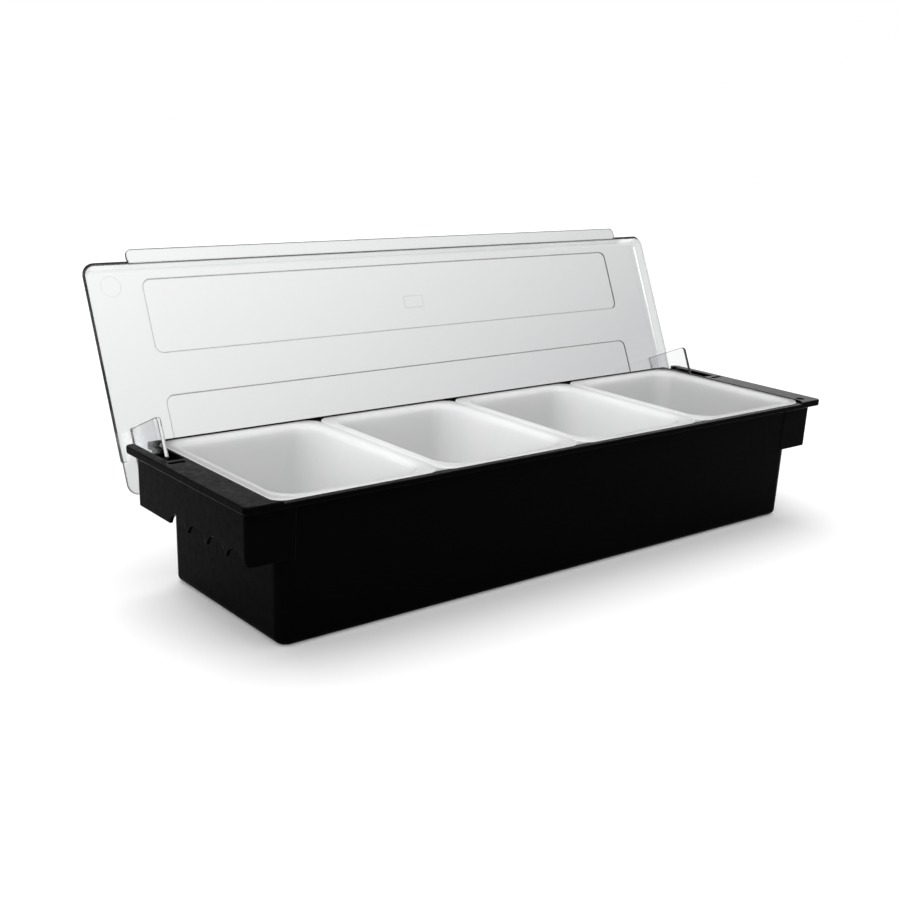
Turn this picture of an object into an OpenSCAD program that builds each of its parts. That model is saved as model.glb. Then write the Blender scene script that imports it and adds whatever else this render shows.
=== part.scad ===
// Bar condiment caddy: a black base, four lift-out trays and one clear lid hinged at the back.
// Millimetres. X runs along the length, Y to the back, Z up. The origin is under the middle of the
// base, and the lid is drawn standing open, as it rests on its stop.

/* [Base] */
// Length of the base over its flange
base_l = 380; // [340:5:440]
// Depth of the base over its flange
base_d = 110; // [106:1:130]
// Height of the base
base_h = 68; // [64:1:90]
// Thickness of the top flange
flange_t = 3.5; // [2.5:0.5:5]
// Corner radius of the flange
flange_r = 3; // [1:0.5:6]
// Wall thickness of the tub and its end walls
tub_wall = 1.8; // [1.2:0.1:2.4]
// Thickness of the tub floor
floor_t = 2; // [1.5:0.5:3]
// How far the tub walls lean outwards, per millimetre of height
tub_draft = 0.022; // [0:0.002:0.03]
// How far the flange overhangs the top of the tub at the front and the back
tub_overhang = 4.9; // [4.5:0.1:6]
// Radius of the upright corners of the tub, at the top
tub_r = 7.5; // [6:0.5:10]
// Radius of the edge round the floor of the tub
tub_edge_r = 3.5; // [2:0.5:4.5]

/* [End skirts] */
// Height of the skirt edge above the table
skirt_z = 40; // [34:1:46]
// How far a skirt stands in from the end of the flange
skirt_end_in = 3.2; // [2:0.1:5]
// How far a skirt stands in from the front and the back of the flange
skirt_side_in = 4.4; // [4:0.1:4.8]
// Wall thickness of a skirt
skirt_wall = 2.2; // [1.5:0.1:2.6]
// Radius of the upright corners of a skirt
skirt_r = 3.5; // [2.8:0.1:5]
// Number of finger scallops in each skirt
scallop_count = 4; // [1:1:5]
// Distance from one scallop to the next
scallop_pitch = 16.8; // [14:0.2:17]
// Height of a scallop
scallop_h = 6; // [3:0.5:7]
// Distance from the front scallop to the front of the flange
scallop_front = 6.1; // [5:0.1:8]

/* [Ledge details] */
// Width of the ledge slot that a lid ear turns in
slot_w = 8; // [7:0.5:8]
// Distance from the slot to the end of the flange
slot_in = 5; // [4.8:0.1:6]
// Width of the short groove in front of the slot
groove_w = 2.6; // [1:0.1:4]
// Length of the short groove
groove_l = 8; // [4:0.5:10]
// Depth of the short groove
groove_deep = 1; // [0.5:0.1:1.5]
// Land between the groove and the slot
groove_land = 3; // [2:0.5:6]
// Diameter of the gate dimple in the right ledge
dimple_d = 4.6; // [3:0.1:6]
// Depth of the gate dimple
dimple_deep = 0.6; // [0.3:0.1:1]
// Distance from the dimple to the end of the flange
dimple_end_in = 10.2; // [7:0.1:11]
// Distance from the dimple to the front of the flange
dimple_front_in = 7.2; // [6:0.1:20]

/* [Trays] */
// Width of the ledge beside the trays at each end of the base
ledge_w = 14.3; // [14:0.1:15]
// Gap between two tray rims
rim_gap = 0.3; // [0.2:0.05:0.6]
// Gap between the end rims and the ledges
rim_end_gap = 0.6; // [0.3:0.05:1]
// Gap between the back rim edge and the recess
rim_back_gap = 0.8; // [0.3:0.1:1]
// Width of the bare strip in front of the tray rims
front_strip = 2.8; // [1.5:0.1:3]
// Width of the bare strip behind the recess
back_strip = 1.6; // [1:0.1:2.5]
// How far the rounded recess runs out past the front of the flange, which leaves the strip open
recess_out = 1.5; // [0.5:0.1:2]
// How deep the rims lie below the top of the base, to their underside
rim_deep = 1; // [0.8:0.1:1.5]
// Corner radius of a tray rim
rim_r = 8; // [4:0.5:10]
// Width of the rim at the sides of a tray, outside its wall
rim_side = 6.4; // [6.2:0.1:8]
// Width of the rim at the front and back of a tray, outside its wall
rim_front = 4.5; // [4.4:0.1:6]
// Thickness of a tray
tray_t = 0.8; // [0.6:0.1:1]
// Radius of the bend from the rim down into the wall
bend_r = 3; // [2:0.1:3.2]
// Gap between the end walls of the tub and the end trays, at the top
tray_clear = 0.4; // [0.3:0.05:0.6]
// Depth of a tray under its rim
tray_deep = 60; // [40:1:61]
// How far the tray walls lean outwards, per millimetre of height
tray_draft = 0.05; // [0.03:0.005:0.06]
// Radius of the upright corners of a tray, at the top
tray_r = 12; // [8:0.5:14]
// Radius of the edge round the floor of a tray
tray_edge_r = 4; // [2:0.5:4.5]

/* [Lid] */
// How far the lid laps over the flange at the ends and the front
lid_lap = 0.5; // [0:0.1:2]
// Thickness of the lid
lid_t = 1.6; // [1.2:0.1:2.4]
// Height of the lid wall under the plate
lid_wall_h = 5; // [4:0.5:8]
// Thickness of the lid wall
lid_wall_t = 1.35; // [1:0.05:1.6]
// How far the lid wall flares outwards over its height
lid_flare = 2.3; // [1:0.1:3]
// Radius of the outer edge of the lid
lid_edge_r = 4.5; // [4:0.1:5]
// Radius of the fillet inside the lid edge
lid_fillet_r = 3; // [2:0.1:3.5]
// Corner radius of the lid at the free edge
lid_r = 6.5; // [6.5:0.5:10]
// Gap between the shut lid and the base
lid_gap = 0.3; // [0.2:0.05:0.6]
// How far the flat rear tongue of the lid reaches behind the base
tongue_lap = 0.2; // [0:0.1:2]
// Length of the flat tongue behind the side walls
tongue_l = 16; // [14.5:0.5:24]
// How far the sides of the tongue stand in from the ends of the lid
tongue_in = 3.5; // [3:0.5:5]
// Corner radius of the rear tongue
tongue_r = 5.5; // [3:0.5:8]
// Reach of the lifting lip
lip_l = 5.9; // [3:0.1:10]
// Thickness of the lifting lip
lip_t = 1.5; // [1:0.1:2]
// Distance from each end of the lip to the end of the lid
lip_in = 23.7; // [15:0.1:60]
// Corner radius of the lip
lip_r = 3; // [1:0.5:3.5]
// Distance from a sunk panel to the end of the lid
panel_end_in = 31.5; // [25:0.5:60]
// Size of each sunk panel from front to back
panel_d = 36.7; // [20:0.1:37]
// Distance from the front of the lid to the front panel
panel_front_in = 8; // [8:0.1:12]
// Bar of full thickness between the two panels
panel_bar = 21.2; // [10:0.1:22]
// Depth of a sunk panel
panel_deep = 0.4; // [0.2:0.1:0.6]
// Corner radius of a sunk panel
panel_r = 4.2; // [2:0.1:8]

/* [Hinge] */
// Angle that the lid swings through, from shut to its stop
open_angle = 113.6; // [105:0.1:114]
// Distance from the hinge axis to the back of the flange
pivot_back = 9.4; // [9.2:0.1:9.8]
// Distance from the hinge axis to the top of the base
pivot_deep = 10.4; // [10.2:0.1:11]
// Diameter of a hinge pin
pin_d = 4; // [3:0.1:4.4]
// Gap between a pin and its hole in the ear, on the radius
pin_fit = 0.05; // [0.02:0.01:0.08]
// Gap between a pin and its holes in the base, on the radius
pin_seat = 0.02; // [0.01:0.01:0.03]
// Radius of the bosses that hold a pin, and of the ear end round it
boss_r = 4; // [3.5:0.1:4.2]
// Thickness of a lid ear
ear_t = 2; // [1.5:0.1:2.4]
// Distance from the outer face of an ear to the end of the flange
ear_in = 9.8; // [9.6:0.1:10.2]
// Gap between an ear and the bosses beside it
ear_gap = 0.6; // [0.3:0.1:0.8]
// Reach of an ear in front of the hinge axis
ear_front = 21.7; // [18:0.1:22]
// Height of an ear under the lid plate
ear_h = 30; // [26:0.5:30.5]
// Width of the free end of an ear
ear_tip = 19; // [14:0.5:19.5]
// Radius of the front corner of the ear tip
ear_r = 2.5; // [1:0.5:4]
// Gap that the moving ear keeps from the slot
ear_clear = 0.3; // [0.2:0.05:0.5]

/* [Hidden] */
$fn = 64;

// Number of trays
tray_count = 4;

// Overshoot of a cut past the face that it opens
cut = 1;
// Angle step of the short arcs in an outline
arc_step = 15;

// Base: half sizes, and the levels of its faces
half_l = base_l / 2;
half_d = base_d / 2;
flange_z = base_h - flange_t;
seat_z = base_h - rim_deep;
tub_y = half_d - tub_overhang;

// Trays: the recess that takes their rims, each rim, each body and its place
recess_x = half_l - ledge_w;
recess_back = half_d - back_strip;
tray_pitch = (2 * (recess_x - rim_end_gap) + rim_gap) / tray_count;
rim_w = tray_pitch - rim_gap;
rim_y0 = -half_d + front_strip;
rim_y1 = recess_back - rim_back_gap;
rim_d = rim_y1 - rim_y0;
tray_y = (rim_y0 + rim_y1) / 2;
body_x = rim_w / 2 - rim_side;
body_y = rim_d / 2 - rim_front;
tray_z = seat_z - tray_deep;
bend_in = bend_r - tray_t;
bend_z = seat_z - bend_in;

// End walls of the tub, which stand clear of the end trays, and its bevelled mouth
tub_in_x = tray_pitch * (tray_count - 1) / 2 + body_x + tray_clear;
tub_x = tub_in_x + tub_wall;
bevel = bend_in + ear_clear;

// Skirts
skirt_x = half_l - skirt_end_in;
skirt_y = half_d - skirt_side_in;
scallop_r = (pow(scallop_pitch / 2, 2) + pow(scallop_h, 2)) / (2 * scallop_h);

// Hinge axis and the ear's place across it
pivot_y = half_d - pivot_back;
pivot_z = base_h - pivot_deep;
ear_x1 = half_l - ear_in;
ear_x0 = ear_x1 - ear_t;
pin_end_gap = 0.2;
pin_x0 = tub_in_x + pin_end_gap;
pin_x1 = skirt_x - skirt_wall;

// Lid, drawn shut
lid_z = base_h + lid_gap + lid_wall_h;
lid_x = half_l + lid_lap;
lid_y0 = -half_d - lid_lap;
lid_y1 = half_d + tongue_lap;
wall_y1 = lid_y1 - tongue_l;
ear_y0 = pivot_y - ear_front;
ear_y1 = pivot_y + boss_r;
ear_z0 = lid_z - ear_h;
flange_sweep = norm([pivot_back, pivot_deep]) + ear_clear;

// Slot: its front edge clears the arc that the ear's front corner sweeps
ear_corner = [pivot_y - ear_y0 - ear_r, pivot_z - ear_z0 - ear_r];
ear_sweep = norm(ear_corner) + ear_r + ear_clear;
slot_y0 = pivot_y - sqrt(pow(ear_sweep, 2) - pow(flange_z - pivot_z, 2));
slot_x1 = half_l - slot_in;
slot_x0 = slot_x1 - slot_w;
// Height at which the ear's rear edge lands on the back of the skirt
notch_y = skirt_y - pivot_y;
notch_z = pivot_z - boss_r * sin(open_angle)
    + cos(open_angle) * (notch_y - boss_r * cos(open_angle)) / sin(open_angle) - ear_clear;

// A plate with rounded corners, standing on z = 0
module rounded_plate(l, d, t, r) {
    linear_extrude(t) {
        square([l - 2 * r, d], center = true);
        square([l, d - 2 * r], center = true);
        for (sx = [-1, 1], sy = [-1, 1])
            translate([sx * (l / 2 - r), sy * (d / 2 - r)]) circle(r);
    }
}

// A box with leaning walls. Its corner axes stand at +-ax and +-ay, and the
// profile lists [radius about those axes, height] from the bottom to the top.
module leaning_box(ax, ay, profile) {
    last = len(profile) - 1;
    right = [for (p = profile) [ax + p[0], p[1]]];
    left = [for (i = [last:-1:0]) [-ax - profile[i][0], profile[i][1]]];
    back = [for (p = profile) [ay + p[0], p[1]]];
    front = [for (i = [last:-1:0]) [-ay - profile[i][0], profile[i][1]]];
    rotate([90, 0, 0]) linear_extrude(2 * ay, center = true) polygon(concat(right, left));
    rotate([90, 0, 90]) linear_extrude(2 * ax, center = true) polygon(concat(back, front));
    for (sx = [-1, 1], sy = [-1, 1])
        translate([sx * ax, sy * ay])
            rotate_extrude()
                polygon(concat([[0, profile[0][1]]], profile, [[0, profile[last][1]]]));
}

// Profile of a leaning wall from height z0, with a rounded lower edge, up to z1.
// The wall would have radius r at height z_ref.
function lean(r, z_ref, z, draft) = r - (z_ref - z) * draft;
function wall_profile(r, z_ref, z0, z1, edge, draft) = concat(
    [for (a = [0:arc_step:90])
        [lean(r, z_ref, z0 + edge, draft) - edge * (1 - sin(a)), z0 + edge * (1 - cos(a))]],
    [[lean(r, z_ref, z1, draft), z1]]
);

// Profile of the bend at the top of a tray, of radius r about its centre
function bend_profile(r) =
    [for (a = [arc_step:arc_step:90]) [tray_r + bend_in - r * cos(a), bend_z + r * sin(a)]];

// Points of an arc about a centre, from angle a0 to a1
function arc(c, r, a0, a1, steps = 6) =
    [for (i = [0:steps]) c + r * [cos(a0 + (a1 - a0) * i / steps), sin(a0 + (a1 - a0) * i / steps)]];

// Puts a child at both ends of the base
module both_ends() {
    children();
    mirror([1, 0, 0]) children();
}

// The solid outside of the tub
module tub_outside() {
    leaning_box(tub_x - tub_r, tub_y - tub_r,
        wall_profile(tub_r, flange_z, 0, flange_z, tub_edge_r, tub_draft));
}

// The hollow inside of the tub, with its bevelled mouth
module tub_inside() {
    in_r = tub_r - tub_wall;
    leaning_box(tub_x - tub_r, tub_y - tub_r, concat(
        wall_profile(in_r, seat_z - bevel, floor_t, seat_z - bevel,
            tub_edge_r - tub_wall / 2, tub_draft),
        [[in_r + bevel, seat_z], [in_r + bevel, base_h + cut]]));
}

// The recess round the tray rims, with rounded corners and open at the front
module rim_recess() {
    front = half_d + recess_out;
    translate([0, (recess_back - front) / 2, seat_z])
        rounded_plate(2 * recess_x, recess_back + front, rim_deep + cut, rim_r + rim_end_gap);
}

// The skirts round both ends, open below and towards the tub
module skirts() {
    open_x = tub_x - tub_r;
    in_y = skirt_y - skirt_wall;
    difference() {
        leaning_box(skirt_x - skirt_r, skirt_y - skirt_r,
            [[lean(skirt_r, flange_z, skirt_z, tub_draft), skirt_z], [skirt_r, flange_z]]);
        translate([-open_x, -base_d, 0]) cube([2 * open_x, 2 * base_d, base_h]);
        translate([-pin_x1, -in_y, 0]) cube([2 * pin_x1, 2 * in_y, base_h]);
        both_ends() scallops();
    }
}

// The finger scallops in the lower edge of one skirt
module scallops() {
    for (i = [0:scallop_count - 1])
        translate([pin_x1 - cut, -half_d + scallop_front + scallop_pitch * (i + 0.5),
            skirt_z + scallop_h - scallop_r])
            rotate([0, 90, 0]) cylinder(h = skirt_wall + 2 * cut, r = scallop_r);
}

// A cylinder along X about the hinge axis
module on_axis(x0, x1, r) {
    translate([x0, pivot_y, pivot_z]) rotate([0, 90, 0]) cylinder(h = x1 - x0, r = r);
}

// The ledge slot, the notch behind it and the short groove in front of it
module ledge_cuts() {
    translate([slot_x0, slot_y0, flange_z - cut])
        cube([slot_w, half_d - slot_y0 + cut, flange_t + 2 * cut]);
    translate([ear_x0 - ear_gap, pivot_y, notch_z])
        cube([ear_t + 2 * ear_gap, half_d, base_h - notch_z]);
    translate([skirt_x - groove_l, slot_y0 - groove_land - groove_w, base_h - groove_deep])
        cube([groove_l, groove_w, groove_deep + cut]);
}

module base_tub() {
    color("#141415") difference() {
        union() {
            difference() {
                union() {
                    tub_outside();
                    skirts();
                    translate([0, 0, flange_z]) rounded_plate(base_l, base_d, flange_t, flange_r);
                }
                both_ends() ledge_cuts();
            }
            both_ends() {
                on_axis(tub_x - tub_wall / 2, ear_x0 - ear_gap, boss_r);
                on_axis(ear_x1 + ear_gap, pin_x1 + skirt_wall / 2, boss_r);
            }
        }
        tub_inside();
        rim_recess();
        both_ends() on_axis(tub_in_x - tray_clear, pin_x1, pin_d / 2 + pin_seat);
        translate([half_l - dimple_end_in, -half_d + dimple_front_in, base_h - dimple_deep])
            cylinder(h = dimple_deep + cut, d = dimple_d);
    }
}

// One tray, counted from the left
module tray(i) {
    ax = body_x - tray_r;
    ay = body_y - tray_r;
    color("#eef0f0")
        translate([(i - (tray_count - 1) / 2) * tray_pitch, tray_y, 0]) difference() {
            union() {
                leaning_box(ax, ay, concat(
                    wall_profile(tray_r, bend_z, tray_z, bend_z, tray_edge_r, tray_draft),
                    bend_profile(bend_in)));
                translate([0, 0, seat_z]) rounded_plate(rim_w, rim_d, tray_t, rim_r);
            }
            leaning_box(ax, ay, concat(
                wall_profile(tray_r - tray_t, bend_z, tray_z + tray_t, bend_z,
                    tray_edge_r - tray_t / 2, tray_draft),
                bend_profile(bend_r),
                [[tray_r + bend_in, seat_z + tray_t + cut]]));
        }
}

module condiment_tray_1() { tray(0); }
module condiment_tray_2() { tray(1); }
module condiment_tray_3() { tray(2); }
module condiment_tray_4() { tray(3); }

// Section through the lid edge, with x measured outwards from the axis of the lid's corner and
// height 0 at the underside of the plate
lean_a = atan2(lid_flare, lid_wall_h);
function edge_centre(r, z, off) =
    [lid_r - (off + (z + lid_wall_h) * sin(lean_a)) / cos(lean_a), z];
lid_outside = concat(
    [[lid_r, -lid_wall_h]],
    arc(edge_centre(lid_edge_r, lid_t - lid_edge_r, lid_edge_r), lid_edge_r, lean_a, 90)
);
lid_inside = concat(
    [[lid_r - lid_wall_t / cos(lean_a) + cut * tan(lean_a), -lid_wall_h - cut]],
    arc(edge_centre(lid_fillet_r, -lid_fillet_r, lid_wall_t + lid_fillet_r),
        lid_fillet_r, lean_a, 90)
);

// The plate with its wall along both ends and the front, open at the back
module lid_shell() {
    ax = lid_x - lid_r;
    ay = -lid_y0 - lid_r;
    difference() {
        leaning_box(ax, ay, lid_outside);
        leaning_box(ax, ay, lid_inside);
        translate([-lid_x - cut, wall_y1, -lid_wall_h - cut])
            cube([2 * (lid_x + cut), base_d, lid_wall_h + lid_t + 2 * cut]);
        translate([0, 0, -lid_z]) on_axis(-lid_x - cut, lid_x + cut, flange_sweep);
    }
}

// Outline of an ear seen from the right end, shut: Y to the right and Z up
module ear_outline() {
    tip_y = ear_y0 + ear_tip;
    corner = [ear_y0 + ear_r, ear_z0 + ear_r];
    polygon(concat(
        [[ear_y1, lid_z], [ear_y0, lid_z]],
        arc(corner, ear_r, 180, 270),
        [[tip_y, ear_z0], [ear_y1, pivot_z]]
    ));
    translate([pivot_y, pivot_z]) circle(boss_r);
}

// Outline of the flat tongue behind the side walls, with its rounded rear corners
module tongue_outline() {
    tongue_x = lid_x - tongue_in;
    translate([-tongue_x, wall_y1]) square([2 * tongue_x, tongue_l - tongue_r]);
    translate([-tongue_x + tongue_r, wall_y1]) square([2 * (tongue_x - tongue_r), tongue_l]);
    for (sx = [-1, 1])
        translate([sx * (tongue_x - tongue_r), lid_y1 - tongue_r]) circle(tongue_r);
}

// The lid as it lies shut on the base
module lid_shut() {
    panel_x = lid_x - panel_end_in;
    difference() {
        union() {
            translate([0, 0, lid_z]) {
                lid_shell();
                linear_extrude(lid_t) tongue_outline();
            }
            translate([0, lid_y0 - lip_l / 2 + lid_wall_t / 2, base_h + lid_gap])
                rounded_plate(2 * (lid_x - lip_in), lip_l + lid_wall_t, lip_t, lip_r);
            both_ends()
                translate([ear_x0, 0, 0]) rotate([90, 0, 90]) linear_extrude(ear_t) ear_outline();
        }
        both_ends() on_axis(ear_x0 - cut, ear_x1 + cut, pin_d / 2 + pin_fit);
        for (i = [0, 1])
            translate([0, lid_y0 + panel_front_in + panel_d / 2 + i * (panel_d + panel_bar),
                lid_z - cut])
                rounded_plate(2 * panel_x, panel_d, cut + panel_deep, panel_r);
    }
}

module clear_lid() {
    color("#d8dee0", 0.4)
        translate([0, pivot_y, pivot_z]) rotate([-open_angle, 0, 0])
            translate([0, -pivot_y, -pivot_z]) lid_shut();
}

// A pin, pushed in from inside the tub until its head is flush with the end wall
module hinge_pin() {
    color("#b9bcbf") on_axis(pin_x0, pin_x1 - pin_end_gap, pin_d / 2);
}

module hinge_pin_left() { mirror([1, 0, 0]) hinge_pin(); }
module hinge_pin_right() { hinge_pin(); }

base_tub();
condiment_tray_1();
condiment_tray_2();
condiment_tray_3();
condiment_tray_4();
clear_lid();
hinge_pin_left();
hinge_pin_right();
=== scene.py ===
import math

import bmesh
import bpy
from mathutils import Matrix, Vector


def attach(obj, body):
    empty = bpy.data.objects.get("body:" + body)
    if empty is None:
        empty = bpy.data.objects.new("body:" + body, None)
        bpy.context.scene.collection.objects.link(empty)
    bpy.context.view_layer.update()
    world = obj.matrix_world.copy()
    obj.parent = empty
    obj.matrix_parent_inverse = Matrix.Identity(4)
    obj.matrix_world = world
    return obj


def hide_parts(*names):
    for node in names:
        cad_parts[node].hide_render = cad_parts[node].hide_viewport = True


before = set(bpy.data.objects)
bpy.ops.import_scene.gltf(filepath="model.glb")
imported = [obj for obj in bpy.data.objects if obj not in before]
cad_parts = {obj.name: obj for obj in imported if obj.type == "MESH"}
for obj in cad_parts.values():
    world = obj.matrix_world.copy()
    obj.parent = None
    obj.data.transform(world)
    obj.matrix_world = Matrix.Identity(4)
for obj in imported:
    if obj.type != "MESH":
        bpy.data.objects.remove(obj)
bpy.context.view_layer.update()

# Base tub
# One injection moulded piece of black ABS with a satin, slightly mottled skin. The tub, its flange,
# the end skirts and the hinge bosses are moulded together; the trays hang in it by their rims.
MM = 0.001                                        # sizes are written in millimetres
TUB_CORNER, TUB_R = (163.4, 42.6), 7.5            # axes and radius of the tub's upright corners
TUB_WALL, TUB_FLOOR, TUB_DRAFT = 1.8, 2.0, 0.022
FOOT_BEND, FLOOR_BEND = 3.5, 2.6                  # radii from floor to wall, outside and inside
FLANGE_CORNER = (187, 52)
FLANGE_UNDER, RIM_SEAT, FLANGE_TOP = 64.5, 67.0, 68.0
THROAT_R, RECESS_CORNER, RECESS_R, RECESS_Y = 8.2, (167.1, 46.35), 8.6, -1.55
SKIRT_CORNER, SKIRT_FOOT = (183.3, 47.1), 40.0
SKIRT_HOLLOW_X, SKIRT_HOLLOW_Y, SKIRT_HOLLOW_R = 184.6, 48.4, 1.0
SCALLOPS, SCALLOP_X, SCALLOP_FRONT, SCALLOP_PITCH = 4, (183.6, 188), -48.9, 16.8
SCALLOP_Z, SCALLOP_R = 37.5, 8.5
HINGE = (45.6, 57.6)                              # y and z of the axis that the lid turns on
SLOT_X, SLOT_FRONT = (177, 185), 21.2             # slot in each ledge for the lid's ear
EAR_GAP_X, NOTCH_Z = (177.6, 180.8), 50.75        # room between the bosses, cut down to the notch
GROOVE_X, GROOVE_Y, GROOVE_R = (178.8, 186.8), (15.6, 18.2), 0.6
BOSS_IN, BOSS_OUT, BOSS_R = 170.0, 185.7, 4
PIN_HOLE_IN, PIN_HOLE_R = 165, 2.02
DIMPLE, DIMPLE_FLOOR, DIMPLE_R = (179.8, -47.8), 67.4, 2.3
OVERLAP = 0.3                                     # how far joined parts reach into each other
CLEAR_LOW, CLEAR_TOP, CLEAR_BACK = 30, 70, 56     # heights and depth past which the cuts end
BASE_EDGE = 0.22
turns = [math.radians(a) for a in range(0, 91, 10)]


def outline(ax, ay, r, n):
    """Rounded rectangle, anticlockwise, whose corner axes stand at +-ax and +-ay."""
    corners = ((1, 1, 0), (-1, 1, 90), (-1, -1, 180), (1, -1, 270))
    steps = [math.radians(90 * k / n) for k in range(n + 1)]
    return [(sx * ax + r * math.cos(math.radians(a) + t), sy * ay + r * math.sin(math.radians(a) + t))
            for sx, sy, a in corners for t in steps]


def solid(name, rows):
    """A mesh object through rows of (x, y, z) points, with both ends capped."""
    bm = bmesh.new()
    verts = [[bm.verts.new(Vector(p) * MM) for p in row] for row in rows]
    for low, high in zip(verts, verts[1:]):
        for i in range(len(low)):
            j = (i + 1) % len(low)
            bm.faces.new((low[i], low[j], high[j], high[i]))
    bm.faces.new(list(reversed(verts[0])))
    bm.faces.new(verts[-1])
    bmesh.ops.remove_doubles(bm, verts=bm.verts, dist=1e-7)
    bmesh.ops.dissolve_degenerate(bm, edges=bm.edges, dist=1e-7)
    bmesh.ops.recalc_face_normals(bm, faces=bm.faces)
    mesh = bpy.data.meshes.new(name)
    bm.to_mesh(mesh)
    bm.free()
    obj = bpy.data.objects.new(name, mesh)
    bpy.context.scene.collection.objects.link(obj)
    return obj


def loft(name, rings, at=(0, 0), n=8):
    """A solid through rings of (ax, ay, r, z) about the point at."""
    return solid(name, [[(at[0] + x, at[1] + y, z) for x, y in outline(ax, ay, r, n)]
                        for ax, ay, r, z in rings])


def block(x0, x1, y0, y1, z0, z1, r=0.0):
    """A box, with rounded upright corners where r isn't 0."""
    ax, ay = (x1 - x0) / 2 - r, (y1 - y0) / 2 - r
    return loft("cut", [(ax, ay, r, z0), (ax, ay, r, z1)], ((x0 + x1) / 2, (y0 + y1) / 2), 8 if r else 1)


def rod(axis, centre, low, high, r, n=48):
    """A cylinder along axis 0, 1 or 2, between low and high on it."""
    rows = []
    for end in (low, high):
        row = []
        for k in range(n):
            a = 2 * math.pi * k / n
            p = [centre[0] + r * math.cos(a), centre[1] + r * math.sin(a)]
            p.insert(axis, end)
            row.append(p)
        rows.append(row)
    return solid("cut", rows)


def settle(obj):
    """Makes what the modifiers show into the object's own mesh."""
    shown = obj.evaluated_get(bpy.context.evaluated_depsgraph_get())
    mesh = bpy.data.meshes.new_from_object(shown)
    obj.modifiers.clear()
    obj.data = mesh


def carve(obj, tools, how="DIFFERENCE"):
    """Cuts the tools out of obj, or joins them to it, and drops the tools."""
    for tool in tools:
        mod = obj.modifiers.new("carve", "BOOLEAN")
        mod.operation = how
        mod.solver = "EXACT"
        mod.object = tool
    settle(obj)
    for tool in tools:
        bpy.data.objects.remove(tool)


def soften(obj, width):
    """Small moulded radii on the sharp edges."""
    mod = obj.modifiers.new("edges", "BEVEL")
    mod.width = width * MM
    mod.segments = 2
    mod.limit_method = "ANGLE"
    mod.angle_limit = math.radians(32)
    mod.use_clamp_overlap = False
    mod.miter_outer = "MITER_ARC"
    settle(obj)


def smooth(obj, angle):
    """Smooth shading, apart from edges that are sharper than the angle."""
    obj.data.shade_smooth()
    obj.data.set_sharp_from_angle(angle=math.radians(angle))


def level(obj):
    """Smooth shading in which the large flat faces stay flat."""
    smooth(obj, 40)
    mod = obj.modifiers.new("level", "WEIGHTED_NORMAL")
    mod.weight = 100
    mod.keep_sharp = True


def lean(r, top, z, draft):
    """Radius at height z of a wall that leans out to radius r at height top."""
    return r - (top - z) * draft


def foot(corner, r, top, draft, low, bend):
    """Rings from a floor at height low round its bend into a leaning wall."""
    above = lean(r, top, low + bend, draft)
    return [(*corner, above - bend * (1 - math.sin(a)), low + bend * (1 - math.cos(a))) for a in turns]


def side(s, near, far):
    """The span near..far from the middle, on the left for s = -1 and on the right for s = 1."""
    return (near, far) if s > 0 else (-far, -near)


# The tub's outside, the end skirts with their finger scallops, and the flange over both.
base = loft("black_base", foot(TUB_CORNER, TUB_R, FLANGE_UNDER, TUB_DRAFT, 0, FOOT_BEND)
            + [(*TUB_CORNER, TUB_R, FLANGE_UNDER + OVERLAP)])
skirts = loft("skirts", [(*SKIRT_CORNER, r, z) for r, z in
                         ((2.6, SKIRT_FOOT), (2.96, SKIRT_FOOT + 0.25), (3.5, FLANGE_UNDER + OVERLAP))])
cuts = [block(-TUB_CORNER[0], TUB_CORNER[0], -60, 60, CLEAR_LOW, CLEAR_TOP),
        block(-SKIRT_HOLLOW_X, SKIRT_HOLLOW_X, -SKIRT_HOLLOW_Y, SKIRT_HOLLOW_Y,
              CLEAR_LOW, FLANGE_UNDER, SKIRT_HOLLOW_R)]
for s in (-1, 1):
    for k in range(SCALLOPS):
        middle = (SCALLOP_FRONT + SCALLOP_PITCH * (k + 0.5), SCALLOP_Z)
        cuts.append(rod(0, middle, *side(s, *SCALLOP_X), SCALLOP_R, 96))
carve(skirts, cuts)
flange = loft("flange", [(*FLANGE_CORNER, r, z) for r, z in
                         ((2.6, FLANGE_UNDER), (2.9, 64.6), (3, 64.9), (3, 67.5), (2.85, 67.85),
                          (2.5, FLANGE_TOP))])
carve(base, [skirts, flange], "UNION")

# Slots, notches and grooves for the lid's ears, then the bosses that hold the pins.
cuts = []
for s in (-1, 1):
    cuts.append(block(*side(s, *SLOT_X), SLOT_FRONT, CLEAR_BACK, 63, CLEAR_TOP))
    cuts.append(block(*side(s, *EAR_GAP_X), HINGE[0], CLEAR_BACK, NOTCH_Z, CLEAR_TOP))
    cuts.append(block(*side(s, *GROOVE_X), *GROOVE_Y, 67, 69, GROOVE_R))
carve(base, cuts)
bosses = []
for s in (-1, 1):
    bosses.append(rod(0, HINGE, *side(s, BOSS_IN, EAR_GAP_X[0]), BOSS_R))
    bosses.append(rod(0, HINGE, *side(s, EAR_GAP_X[1], BOSS_OUT), BOSS_R))
carve(base, bosses, "UNION")

# The tub's inside, the recess for the tray rims, the pin holes and a gate dimple.
inside = loft("cut", foot(TUB_CORNER, TUB_R - TUB_WALL, FLANGE_UNDER, TUB_DRAFT, TUB_FLOOR, FLOOR_BEND)
              + [(*TUB_CORNER, TUB_R - TUB_WALL, FLANGE_UNDER), (*TUB_CORNER, THROAT_R, RIM_SEAT),
                 (*TUB_CORNER, THROAT_R, CLEAR_TOP)])
recess = loft("cut", [(*RECESS_CORNER, RECESS_R, z) for z in (RIM_SEAT, CLEAR_TOP)], (0, RECESS_Y))
pin_holes = [rod(0, HINGE, *side(s, PIN_HOLE_IN, SKIRT_HOLLOW_X), PIN_HOLE_R) for s in (-1, 1)]
carve(base, [inside, recess, *pin_holes, rod(2, DIMPLE, DIMPLE_FLOOR, CLEAR_TOP, DIMPLE_R)])
soften(base, BASE_EDGE)
level(base)


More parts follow.
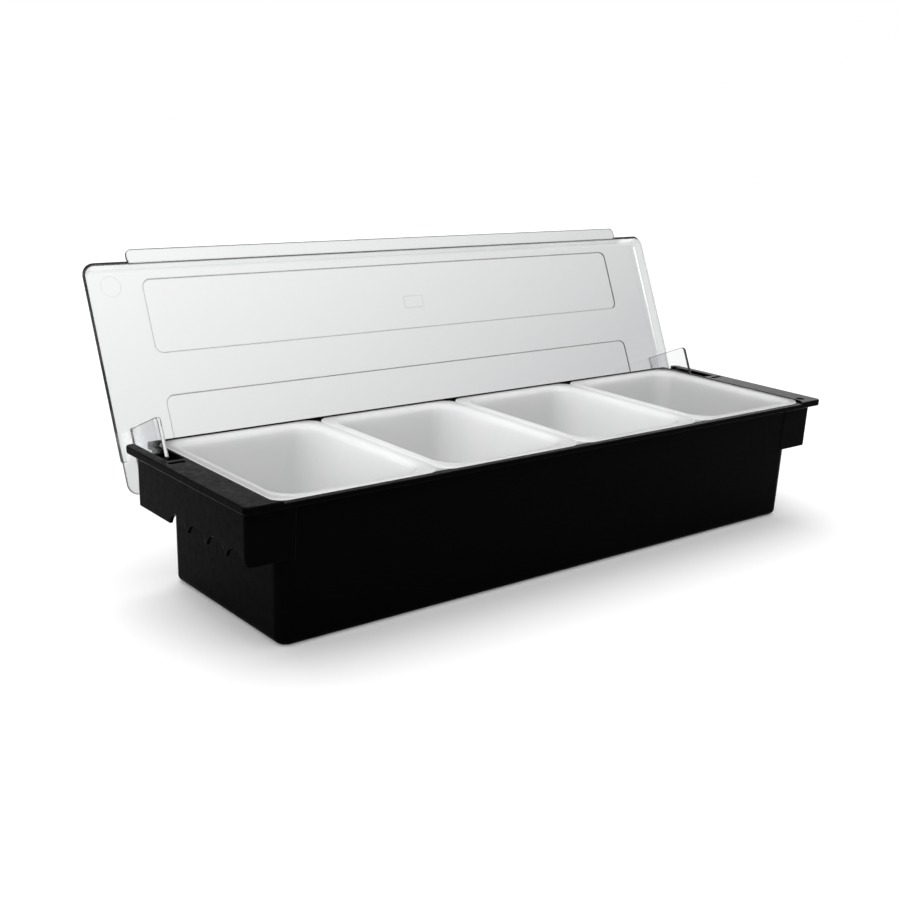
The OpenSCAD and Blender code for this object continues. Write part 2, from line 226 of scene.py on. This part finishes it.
def node(tree, kind, inputs=None, **props):
    """Adds a node whose inputs are given numbers or linked to other nodes' outputs."""
    made = tree.nodes.new(kind)
    for key, value in props.items():
        setattr(made, key, value)
    for key, value in (inputs or {}).items():
        if isinstance(value, bpy.types.NodeSocket):
            tree.links.new(value, made.inputs[key])
        else:
            made.inputs[key].default_value = value
    return made


def span(tree, value, low, high, to_low=0.0, to_high=1.0):
    """The value stretched from low..high to to_low..to_high and held inside that."""
    return node(tree, "ShaderNodeMapRange", {"Value": value, "From Min": low, "From Max": high,
                                             "To Min": to_low, "To Max": to_high}).outputs["Result"]


def maths(tree, how, a, b):
    """One sum of two values."""
    return node(tree, "ShaderNodeMath", {0: a, 1: b}, operation=how).outputs[0]


def blend(tree, fac, a, b):
    """Colour a where fac is 0 and colour b where it is 1."""
    return node(tree, "ShaderNodeMix", {0: fac, 6: a, 7: b}, data_type="RGBA").outputs[2]


def noise(tree, scale, detail=2.0, rough=0.5, where=None):
    """A cloudy value between 0 and 1, held to the object unless where is given."""
    where = where or node(tree, "ShaderNodeTexCoord").outputs["Object"]
    return node(tree, "ShaderNodeTexNoise", {"Vector": where, "Scale": scale, "Detail": detail,
                                             "Roughness": rough}).outputs["Fac"]


def bump(tree, height, strength, depth):
    """The surface's normal over small hills and hollows, whose depth is in metres."""
    return node(tree, "ShaderNodeBump", {"Height": height, "Strength": strength,
                                         "Distance": depth}).outputs["Normal"]


def effect(name, inputs, outputs):
    """A shader node group with number sockets; gives its tree, its inputs and its outputs."""
    tree = bpy.data.node_groups.new(name, "ShaderNodeTree")
    for label, value in inputs:
        socket = tree.interface.new_socket(label, in_out="INPUT", socket_type="NodeSocketFloat")
        socket.default_value = value
    for label in outputs:
        tree.interface.new_socket(label, in_out="OUTPUT", socket_type="NodeSocketFloat")
    return tree, tree.nodes.new("NodeGroupInput").outputs, tree.nodes.new("NodeGroupOutput").inputs


def use(tree, group, **values):
    """Places a shared effect in a material with its own values."""
    return node(tree, "ShaderNodeGroup", values, node_tree=group).outputs


def finish(name):
    """A new material; gives it, its node tree and its main shader."""
    made = bpy.data.materials.new(name)
    made.use_nodes = True
    return made, made.node_tree, made.node_tree.nodes["Principled BSDF"]


# Shared effect: the fine and broad unevenness of a moulded skin.
grain, into, out = effect("moulded_grain", [("Fine", 2600.0), ("Broad", 260.0)], ["Height", "Mottle"])
fine = noise(grain, into["Fine"])
broad = noise(grain, into["Broad"], 4.0, 0.62)
grain.links.new(maths(grain, "ADD", maths(grain, "MULTIPLY", fine, 0.45),
                      maths(grain, "MULTIPLY", broad, 0.55)), out["Height"])
grain.links.new(span(grain, broad, 0.36, 0.64), out["Mottle"])

# Shared effect: a mask of edges, found where a rounded normal leaves the flat one. It marks rubbed wear,
# painted highlights on the black plastic's edges and painted shade on the lid's edges.
wear_and_painted_edges, into, out = effect("edges_worn_and_painted", [("Radius", 0.0006), ("Breakup", 0.5)], ["Mask"])
rounded = node(wear_and_painted_edges, "ShaderNodeBevel", {"Radius": into["Radius"]}, samples=6).outputs["Normal"]
flat = node(wear_and_painted_edges, "ShaderNodeNewGeometry").outputs["True Normal"]
agree = node(wear_and_painted_edges, "ShaderNodeVectorMath", {0: rounded, 1: flat}, operation="DOT_PRODUCT")
near_edge = span(wear_and_painted_edges, agree.outputs["Value"], 0.995, 0.9)
kept = maths(wear_and_painted_edges, "MULTIPLY", into["Breakup"], span(wear_and_painted_edges, noise(wear_and_painted_edges, 900.0, 3.0), 0.35, 0.62))
wear_and_painted_edges.links.new(maths(wear_and_painted_edges, "MULTIPLY", near_edge, maths(wear_and_painted_edges, "SUBTRACT", 1.0, kept)), out["Mask"])

# Shared effect: dust that lies on faces that look up.
dust, into, out = effect("settled_dust", [("Film", 0.3), ("Specks", 0.5)], ["Mask"])
up = node(dust, "ShaderNodeSeparateXYZ", {0: node(dust, "ShaderNodeTexCoord").outputs["Normal"]})
film = maths(dust, "MULTIPLY", into["Film"], span(dust, noise(dust, 90.0, 5.0, 0.7), 0.3, 0.75))
specks = maths(dust, "MULTIPLY", into["Specks"], span(dust, noise(dust, 1300.0, 1.0), 0.68, 0.78))
dust.links.new(maths(dust, "MULTIPLY", span(dust, up.outputs["Z"], 0.3, 0.95),
                     maths(dust, "ADD", film, specks)), out["Mask"])

FRESH_BLACK, RUBBED_AND_HIGHLIT_BLACK = (0.0006, 0.0006, 0.0007, 1), (0.01, 0.01, 0.0105, 1)
DUST_GREY, DUST_COVER, RUBBED_AND_HIGHLIT_COVER = (0.16, 0.155, 0.15, 1), 0.12, 0.8
SHEEN_POWER, SHEEN = 10.0, 4.5                    # gloss that shows only at a shallow angle
black, tree, bsdf = finish("black_abs")
skin = use(tree, grain, Fine=2600.0, Broad=300.0)
# Lighter black on the edges: partly real rubbed wear, partly a painted highlight along the edges.
lighter_edges = maths(tree, "MULTIPLY", use(tree, wear_and_painted_edges, Radius=0.0007, Breakup=0.7)["Mask"], RUBBED_AND_HIGHLIT_COVER)
dusty = maths(tree, "MULTIPLY", use(tree, dust, Film=0.35, Specks=0.9)["Mask"], DUST_COVER)
tone = blend(tree, dusty, blend(tree, lighter_edges, FRESH_BLACK, RUBBED_AND_HIGHLIT_BLACK), DUST_GREY)
shallow = node(tree, "ShaderNodeLayerWeight", {"Blend": 0.5}).outputs["Facing"]
sheen = maths(tree, "MULTIPLY", maths(tree, "POWER", shallow, SHEEN_POWER), SHEEN)
tree.links.new(tone, bsdf.inputs["Base Color"])
tree.links.new(span(tree, skin["Mottle"], 0, 1, 0.3, 0.5), bsdf.inputs["Roughness"])
tree.links.new(sheen, bsdf.inputs["Coat Weight"])
tree.links.new(bump(tree, skin["Height"], 0.5, 0.00012), bsdf.inputs["Normal"])
bsdf.inputs["IOR"].default_value = 1.35
bsdf.inputs["Specular IOR Level"].default_value = 0.015
bsdf.inputs["Coat Roughness"].default_value = 0.22
base.data.materials.clear()
base.data.materials.append(black)
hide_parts("base_tub")
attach(base, "base")

# Hinge pins
# Two turned steel pins, pushed through the bosses from inside the tub; the lid ears turn on them.
PIN_R, PIN_TIP_R, PIN_SIDES = 2.0, 1.7, 40
PIN_ENDS = ((169.3, PIN_TIP_R), (169.6, PIN_R), (184.1, PIN_R), (184.4, PIN_TIP_R))
STEEL_GREY, STEEL_BRIGHT = (0.53, 0.53, 0.54, 1), (0.68, 0.68, 0.69, 1)
LATHE_LINES = (9000, 400, 400)                    # close along the pin, long around it
steel, tree, bsdf = finish("pin_steel")
spot = node(tree, "ShaderNodeTexCoord").outputs["Object"]
stretched = node(tree, "ShaderNodeMapping", {"Vector": spot, "Scale": LATHE_LINES}).outputs[0]
cut_lines = noise(tree, 1.0, 3.0, 0.6, stretched)
lighter_edges = use(tree, wear_and_painted_edges, Radius=0.0004, Breakup=0.4)["Mask"]
tree.links.new(blend(tree, lighter_edges, STEEL_GREY, STEEL_BRIGHT), bsdf.inputs["Base Color"])
tree.links.new(span(tree, cut_lines, 0.3, 0.7, 0.2, 0.42), bsdf.inputs["Roughness"])
tree.links.new(bump(tree, cut_lines, 0.3, 0.00003), bsdf.inputs["Normal"])
bsdf.inputs["Metallic"].default_value = 1
round_pin = [2 * math.pi * k / PIN_SIDES for k in range(PIN_SIDES)]
for name, s in (("hinge_pin_left", -1), ("hinge_pin_right", 1)):
    pin = solid("steel_" + name, [[(s * x, HINGE[0] + r * math.cos(a), HINGE[1] + r * math.sin(a))
                                   for a in round_pin] for x, r in PIN_ENDS])
    smooth(pin, 40)
    pin.data.materials.append(steel)
    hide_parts(name)
    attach(pin, "base")

# Condiment trays
# Four equal lift-out trays, thin injection moulded white polypropylene that lets some light through.
# Each has a flat rim that rolls down into leaning walls with generous corner radii.
TRAY_PITCH, TRAY_Y = 87.625, 0.2
TRAY_CORNER, TRAY_R, TRAY_DRAFT = (25.26, 35.9), 12, 0.05
TRAY_WALL, TRAY_FOOT, TRAY_BEND, INNER_BEND = 0.8, 7, 4, 3.6
ROLL_Z, ROLL_R = 64.8, 3                          # where the wall rolls out into the rim
RIM_CORNER, RIM_UNDER, RIM_TOP = (35.66, 44.4), 67.0, 67.8
RIM_EDGE = ((7.75, RIM_UNDER), (7.93, 67.07), (8.0, 67.25), (8.0, 67.5), (7.9, 67.7), (7.7, RIM_TOP))
WALL_STEPS = (20, 30, 40, 50, 60)
MILK_WHITE, MILK_BRIGHT = (0.975, 0.98, 0.982, 1), (0.99, 0.99, 0.988, 1)
LIGHT_THROUGH = 0.66                              # share of the light that the thin wall lets into it
white, tree, bsdf = finish("white_pp")
skin = use(tree, grain, Fine=1500.0, Broad=70.0)
milky = blend(tree, skin["Mottle"], MILK_WHITE, MILK_BRIGHT)
tree.links.new(milky, bsdf.inputs["Base Color"])
tree.links.new(span(tree, skin["Mottle"], 0, 1, 0.14, 0.22), bsdf.inputs["Roughness"])
tree.links.new(bump(tree, skin["Height"], 0.3, 0.00006), bsdf.inputs["Normal"])
bsdf.inputs["Specular IOR Level"].default_value = 0.5
glow = node(tree, "ShaderNodeBsdfTranslucent", {"Color": milky}).outputs[0]
both = node(tree, "ShaderNodeMixShader", {"Fac": LIGHT_THROUGH, 1: bsdf.outputs[0], 2: glow}).outputs[0]
tree.links.new(both, tree.nodes["Material Output"].inputs["Surface"])
inner_r, roll_in = TRAY_R - TRAY_WALL, ROLL_R - TRAY_WALL
lip_r = inner_r + ROLL_R                          # radius at which the roll meets the flat rim

# One section for all four: up the outside, over the rim and down the inside.
shell = foot(TRAY_CORNER, TRAY_R, ROLL_Z, TRAY_DRAFT, TRAY_FOOT, TRAY_BEND)
shell += [(*TRAY_CORNER, lean(TRAY_R, ROLL_Z, z, TRAY_DRAFT), z) for z in WALL_STEPS]
shell += [(*TRAY_CORNER, lip_r - roll_in * math.cos(a), ROLL_Z + roll_in * math.sin(a))
          for a in turns[:-1]]
shell += [(*TRAY_CORNER, lip_r, RIM_UNDER)] + [(*RIM_CORNER, r, z) for r, z in RIM_EDGE]
shell += [(*TRAY_CORNER, lip_r, RIM_TOP)]
shell += [(*TRAY_CORNER, lip_r - ROLL_R * math.cos(a), ROLL_Z + ROLL_R * math.sin(a))
          for a in reversed(turns[:-1])]
shell += [(*TRAY_CORNER, lean(inner_r, ROLL_Z, z, TRAY_DRAFT), z) for z in reversed(WALL_STEPS)]
shell += reversed(foot(TRAY_CORNER, inner_r, ROLL_Z, TRAY_DRAFT, TRAY_FOOT + TRAY_WALL, INNER_BEND))
for i in range(4):
    tray = loft("white_tray_%d" % (i + 1), shell, ((i - 1.5) * TRAY_PITCH, TRAY_Y), 12)
    smooth(tray, 50)
    tray.data.materials.append(white)
    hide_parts("condiment_tray_%d" % (i + 1))
    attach(tray, "tray_%d" % (i + 1))

# Clear lid
# One moulding of clear polycarbonate: a thin plate with a leaning wall on three sides, a lifting lip,
# a flat rear tongue, two sunk panels on its underside and an ear at each end that turns on a pin.
LID_CORNER, LID_R, LID_FOOT = (184, 49), 6.5, 68.3
PLATE_UNDER, PLATE_TOP, WALL_THICK = 73.3, 74.9, 1.35
LEAN = math.atan2(2.3, 5)                         # lean of the three walls, from upright
BEND_OUT, BEND_IN = 4.5, 3.0
TONGUE_FRONT, TONGUE_SIDE, TONGUE_CORNER, TONGUE_R = 39.2, 187, (181.5, 49.7), 5.5
TURNING_ROOM = 14.32                              # radius that is clear of the base as the lid turns
LIP_CORNER, LIP_R, LIP_Y, LIP_TOP = (163.8, 0.625), 3, -57.775, 69.8
EAR_X, EAR_TOP_Z, EAR_HOLE_R = (178.2, 180.2), 73.6, 2.05
EAR_BACK, EAR_FRONT, EAR_LOW = 49.6, 23.9, (42.9, 43.3)
EAR_CORNER, EAR_CORNER_R, EAR_EYE_R = (26.4, 45.8), 2.5, 4
PANELS_Y, PANEL_X, PANEL_HALF, PANEL_TOP, PANEL_R = (-29.15, 28.75), 159, 18.35, 73.85, 4.2
PAD_X, PAD_Y, PAD_LOW, PAD_R = (-5.3, 7.7), (-29.2, -22.5), 73.8, 0.6
EJECTOR, EJECTOR_TOP, EJECTOR_R = (-175.3, -44.9), 73.33, 5
LID_EDGE, OPEN_ANGLE = 0.2, 113.6


def lid_wall(bend, inset, crown, low):
    """Rings up the lid's leaning wall, so far inside its outer face, and round the bend to the crown."""
    rings = [(*LID_CORNER, LID_R - inset / math.cos(LEAN) + (LID_FOOT - low) * math.tan(LEAN), low)]
    middle = crown - bend
    r = LID_R - (bend + inset + (middle - LID_FOOT) * math.sin(LEAN)) / math.cos(LEAN)
    for k in range(9):
        a = LEAN + (math.pi / 2 - LEAN) * k / 8
        rings.append((*LID_CORNER, r + bend * math.cos(a), middle + bend * math.sin(a)))
    return rings


# The plate with its walls, open at the back and cut clear of the base's edge.
lid = loft("clear_lid_shell", lid_wall(BEND_OUT, 0, PLATE_TOP, LID_FOOT))
hollow = loft("cut", lid_wall(BEND_IN, WALL_THICK, PLATE_UNDER, LID_FOOT - 1))
carve(lid, [hollow, block(-200, 200, TONGUE_FRONT, 80, 60, 80), rod(0, HINGE, -195, 195, TURNING_ROOM)])

# The rear tongue, the lifting lip and the ears.
tx, ty = TONGUE_CORNER
shape = [(-TONGUE_SIDE, TONGUE_FRONT), (TONGUE_SIDE, TONGUE_FRONT)]
shape += [(tx + TONGUE_R * math.cos(a), ty + TONGUE_R * math.sin(a)) for a in turns]
shape += [(-tx - TONGUE_R * math.sin(a), ty + TONGUE_R * math.cos(a)) for a in turns]
tongue = solid("tongue", [[(x, y, z) for x, y in shape] for z in (PLATE_UNDER, PLATE_TOP)])
lip = loft("lip", [(*LIP_CORNER, LIP_R, z) for z in (LID_FOOT, LIP_TOP)], (0, LIP_Y))
ey, ez = EAR_CORNER
shape = [(EAR_BACK, EAR_TOP_Z), (EAR_FRONT, EAR_TOP_Z)]
shape += [(ey - EAR_CORNER_R * math.cos(a), ez - EAR_CORNER_R * math.sin(a)) for a in turns] + [EAR_LOW]
shape += [(HINGE[0] + EAR_EYE_R * math.cos(a), HINGE[1] + EAR_EYE_R * math.sin(a))
          for a in [math.radians(t) for t in (-80, -60, -40, -20, 0)]]
ears = [solid("ear", [[(x, y, z) for y, z in shape] for x in side(s, *EAR_X)]) for s in (-1, 1)]
carve(lid, [tongue, lip, *ears], "UNION")

# The eyes in the ears and the sunk panels, then a bare pad and an ejector mark, both very shallow.
cuts = [rod(0, HINGE, *side(s, 177, 182), EAR_HOLE_R) for s in (1, -1)]
for y in PANELS_Y:
    cuts.append(block(-PANEL_X, PANEL_X, y - PANEL_HALF, y + PANEL_HALF, 72, PANEL_TOP, PANEL_R))
carve(lid, cuts)
soften(lid, LID_EDGE)
carve(lid, [block(*PAD_X, *PAD_Y, PAD_LOW, 74.2, PAD_R)], "UNION")
carve(lid, [rod(2, EJECTOR, 73, EJECTOR_TOP, EJECTOR_R)])
level(lid)

# The lid is shaped shut, then turned open about the pins.
opening = Matrix.Rotation(math.radians(-OPEN_ANGLE), 4, "X")
axle = Vector((0, *HINGE)) * MM
lid.data.transform(Matrix.Translation(axle) @ opening @ Matrix.Translation(-axle))

# Painted light and shade: the lid's tint is paler to the left and the top and smokier to the right and
# the bottom, standing in for the reflection across the plate.
PAINTED_SHADE_TINT, PAINTED_LIGHT_TINT = (0.46, 0.465, 0.47, 1), (0.89, 0.893, 0.895, 1)
EAR_PAINTED_LIGHT, END_WALL_PAINTED_LIGHT_AND_SHADE, EDGE_PAINTED_SHADE = (0.8, 0.805, 0.81, 1), (0.6, 0.605, 0.61, 1), (0.06, 0.062, 0.065, 1)
PAINTED_LIGHT_WAY = (-0.72, 0, 1.435)                     # painted light and shade: paler towards the left and the top
clear, tree, bsdf = finish("clear_pc")
spot = node(tree, "ShaderNodeTexCoord").outputs["Object"]
across = node(tree, "ShaderNodeVectorMath", {0: spot, 1: PAINTED_LIGHT_WAY}, operation="DOT_PRODUCT")
painted_tint = blend(tree, span(tree, across.outputs["Value"], 0.0, 0.5), PAINTED_SHADE_TINT, PAINTED_LIGHT_TINT)

# The ears and the end walls hang under the plate near its ends and get painted light and shade, tones of
# their own in place of the tint there.
own_up = tuple(opening @ Vector((0, 0, 1)))
height = node(tree, "ShaderNodeVectorMath", {0: spot, 1: own_up}, operation="DOT_PRODUCT")
outwards = maths(tree, "ABSOLUTE", node(tree, "ShaderNodeSeparateXYZ", {0: spot}).outputs["X"], 0.0)
under = maths(tree, "MULTIPLY", span(tree, height.outputs["Value"], 0.0342, 0.0332),
              span(tree, outwards, 0.17, 0.176))
end_wall = span(tree, outwards, 0.184, 0.187)
painted_tint = blend(tree, under, painted_tint, blend(tree, end_wall, EAR_PAINTED_LIGHT, END_WALL_PAINTED_LIGHT_AND_SHADE))

# Painted shade: the lid's edges are painted dark, half as much on the end walls.
edges = maths(tree, "MULTIPLY", use(tree, wear_and_painted_edges, Radius=0.0008, Breakup=0.1)["Mask"],
              span(tree, end_wall, 0, 1, 1, 0.5))
tree.links.new(blend(tree, span(tree, edges, 0, 0.35), painted_tint, EDGE_PAINTED_SHADE), bsdf.inputs["Base Color"])
smears = span(tree, noise(tree, 60.0, 5.0, 0.65), 0.4, 0.75, 0.02, 0.07)
tree.links.new(smears, bsdf.inputs["Roughness"])
bsdf.inputs["IOR"].default_value = 1.5
bsdf.inputs["Transmission Weight"].default_value = 1.0
lid.data.materials.clear()
lid.data.materials.append(clear)
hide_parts("clear_lid")
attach(lid, "lid")

# Studio
# A plain pale floor, a white surround, one square lamp that lights all but the floor, a soft sun that
# lights only the floor and gives the tight shadow, and the photo's camera.
FLOOR_HALF, FLOOR_THICK = 3000, 0.2
FLOOR_WHITE, FLOOR_SEEN = (0.75, 0.75, 0.75, 1), 0.12
square = ((-1, -1), (1, -1), (1, 1), (-1, 1))
floor = solid("floor", [[(x * FLOOR_HALF, y * FLOOR_HALF, z) for x, y in square]
                        for z in (-FLOOR_THICK, 0)])
pale, tree, bsdf = finish("floor_white")
path = node(tree, "ShaderNodeLightPath").outputs
looked_at = maths(tree, "ADD", path["Is Camera Ray"], path["Is Glossy Ray"])
looked_at = maths(tree, "MINIMUM", maths(tree, "ADD", looked_at, path["Is Transmission Ray"]), 1.0)
tree.links.new(maths(tree, "MULTIPLY", looked_at, FLOOR_SEEN), bsdf.inputs["Emission Strength"])
bsdf.inputs["Base Color"].default_value = FLOOR_WHITE
bsdf.inputs["Roughness"].default_value = 0.9
bsdf.inputs["Specular IOR Level"].default_value = 0.0
bsdf.inputs["Emission Color"].default_value = (1, 1, 1, 1)
floor.data.materials.append(pale)

world = bpy.data.worlds.new("surround")
world.use_nodes = True
world.node_tree.nodes["Background"].inputs["Color"].default_value = (1, 1, 1, 1)
world.node_tree.nodes["Background"].inputs["Strength"].default_value = 1.0
bpy.context.scene.world = world


def place(name, data):
    """A new object in the scene with the given lamp or camera."""
    made = bpy.data.objects.new(name, data)
    bpy.context.scene.collection.objects.link(made)
    return made


def facing(direction):
    """The turn that points a lamp in the direction."""
    return direction.to_track_quat("-Z", "Y").to_euler()


WINDOW_PLACE, WINDOW_AIM, WINDOW_SIZE, WINDOW_WATTS = (-0.75, -0.65, 0.85), (0, 0, 0.05), 0.6, 11
lamp = bpy.data.lights.new("window", "AREA")
lamp.size, lamp.energy = WINDOW_SIZE, WINDOW_WATTS
window = place("window", lamp)
window.location = WINDOW_PLACE
window.rotation_euler = facing(Vector(WINDOW_AIM) - Vector(WINDOW_PLACE))
beside = bpy.data.collections.new("not_from_window")
beside.objects.link(floor)
window.light_linking.receiver_collection = beside
beside.collection_objects[0].light_linking.link_state = "EXCLUDE"

SKY_STRENGTH, SKY_SOFTNESS, SKY_WAY = 1.7, 0.9, (-0.04, -0.45, -1)
sky = bpy.data.lights.new("skylight", "SUN")
sky.energy, sky.angle = SKY_STRENGTH, SKY_SOFTNESS
skylight = place("skylight", sky)
skylight.rotation_euler = facing(Vector(SKY_WAY))
ground = bpy.data.collections.new("from_skylight")
ground.objects.link(floor)
skylight.light_linking.receiver_collection = ground

CAM_RIGHT, CAM_UP, CAM_BACK = ((0.777533, -0.627613, 0.039307), (0.138130, 0.231437, 0.962994),
                               (-0.613484, -0.743330, 0.266642))
CAM_PLACE, CAM_LENS, CAM_SENSOR = (-0.427988, -0.468296, 0.225426), 50.342, 36
cam = place("camera", bpy.data.cameras.new("camera"))
cam.data.sensor_width, cam.data.lens, cam.data.clip_start = CAM_SENSOR, CAM_LENS, 0.05
turned = Matrix((CAM_RIGHT, CAM_UP, CAM_BACK)).transposed().to_4x4()
cam.matrix_world = Matrix.Translation(CAM_PLACE) @ turned
bpy.context.scene.camera = cam
bpy.context.scene.view_settings.view_transform = "Standard"
